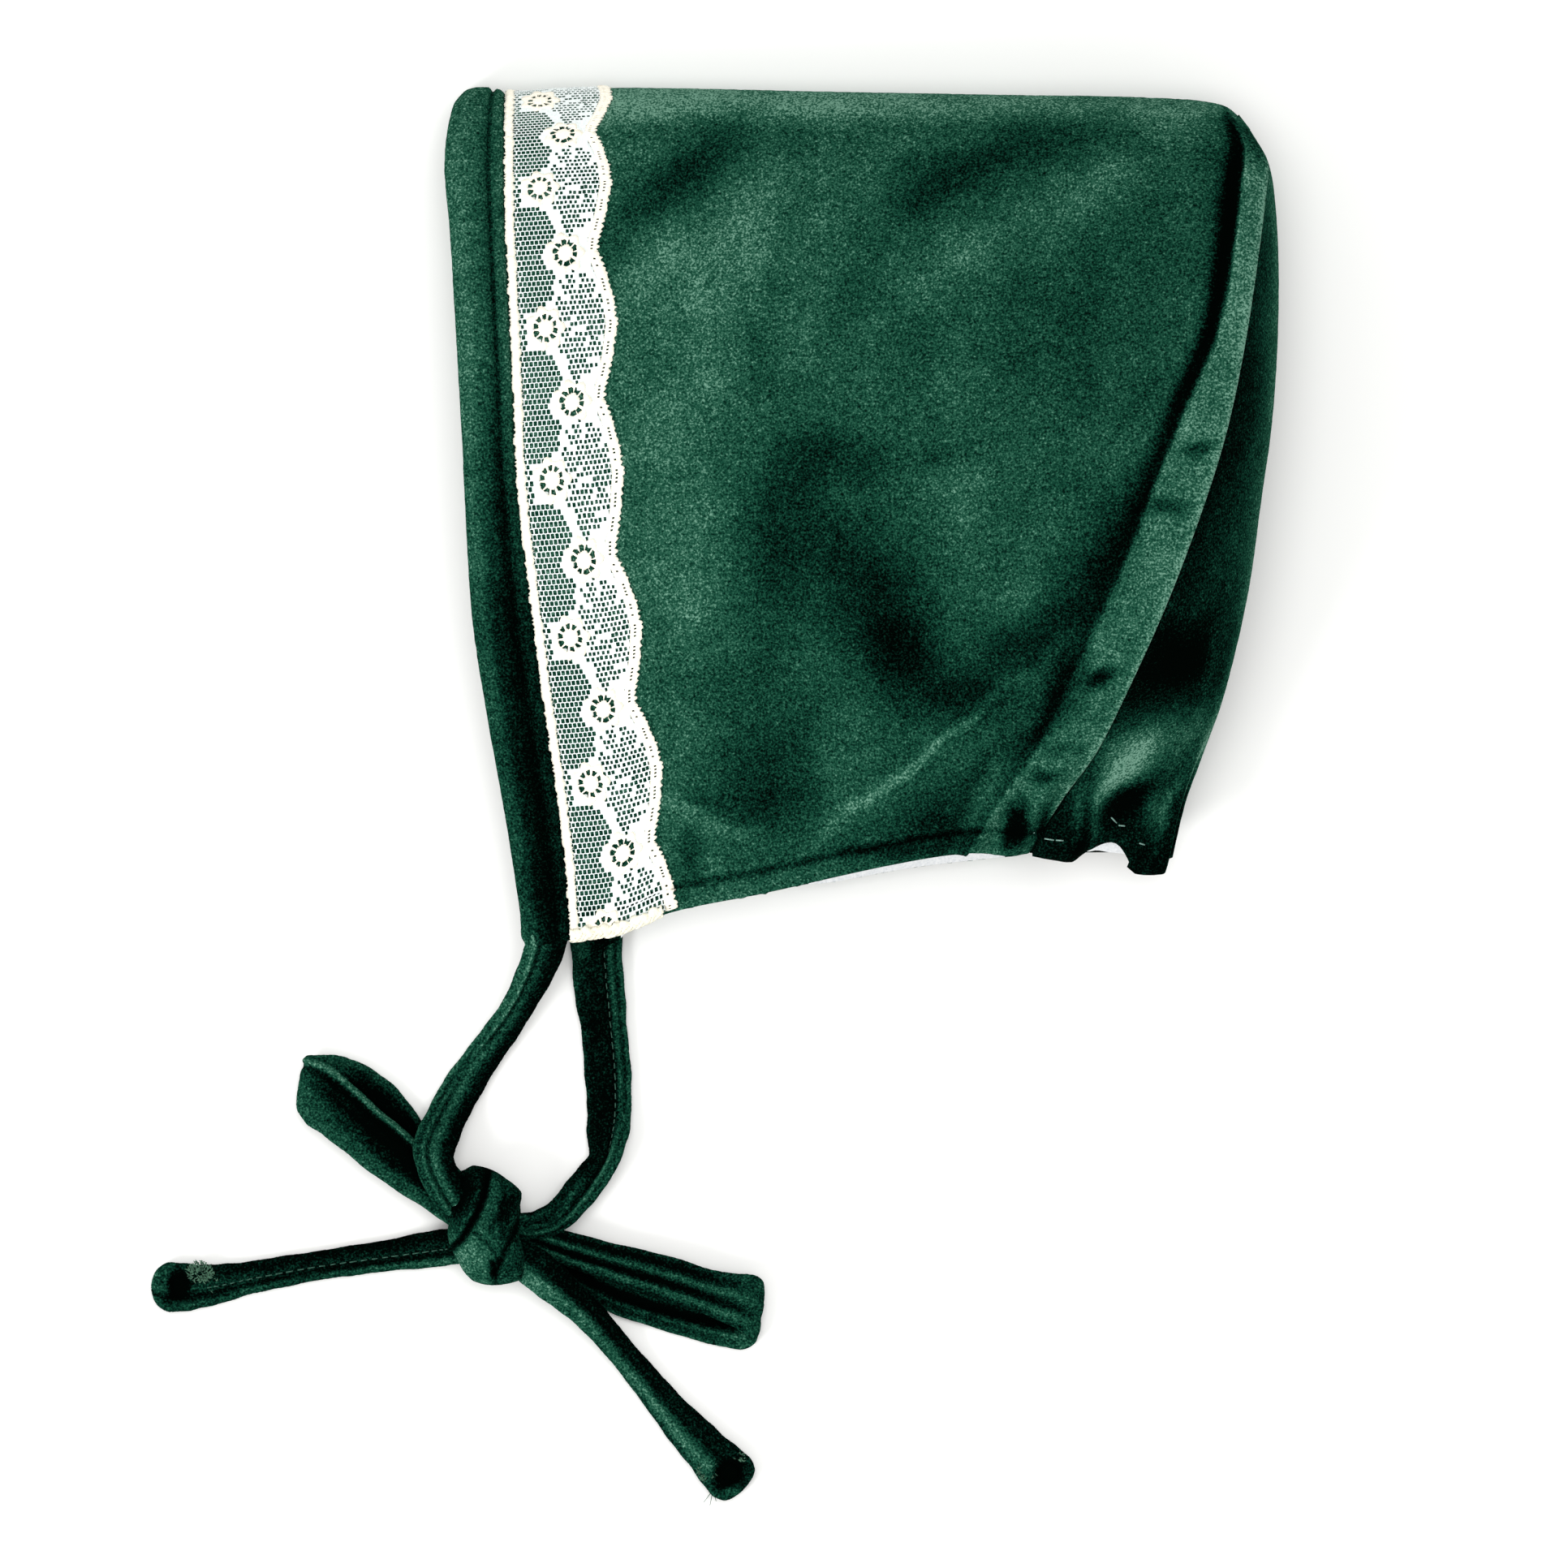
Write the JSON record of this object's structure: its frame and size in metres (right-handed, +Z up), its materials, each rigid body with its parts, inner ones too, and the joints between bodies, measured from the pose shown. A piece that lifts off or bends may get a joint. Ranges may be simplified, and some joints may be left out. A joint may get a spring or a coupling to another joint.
{
  "type": "baby bonnet",
  "caption": "Velvet baby bonnet with a lace-trimmed face edge, gathered crown and cotton lining, lying on its side with its ties in a bow.",
  "frame": {"origin": "middle of the bounding box at the surface that the bonnet lies on", "axes": "+X from the face opening to the crown, +Y from the neck to the top of the head, +Z up from the surface"},
  "size_m": [0.2142, 0.2714, 0.0508],
  "materials": {
    "velvet": "short-pile cotton velvet, dark green, light where the pile faces the light and near black where it faces away",
    "lining": "plain woven white cotton, matt",
    "lace": "cream cotton net lace with corded flowers and scallops"
  },
  "bodies": {
    "root": {"side_panel": "velvet", "crown_panel": "velvet", "face_binding": "velvet", "tie_near": "velvet", "tie_far": "velvet", "bow_knot": "velvet", "bow_loop_left": "velvet", "bow_loop_right": "velvet", "tie_end_left": "velvet", "tie_end_right": "velvet", "side_lining": "lining", "crown_lining": "lining", "lace_trim": "lace"}
  },
  "joints": []
}
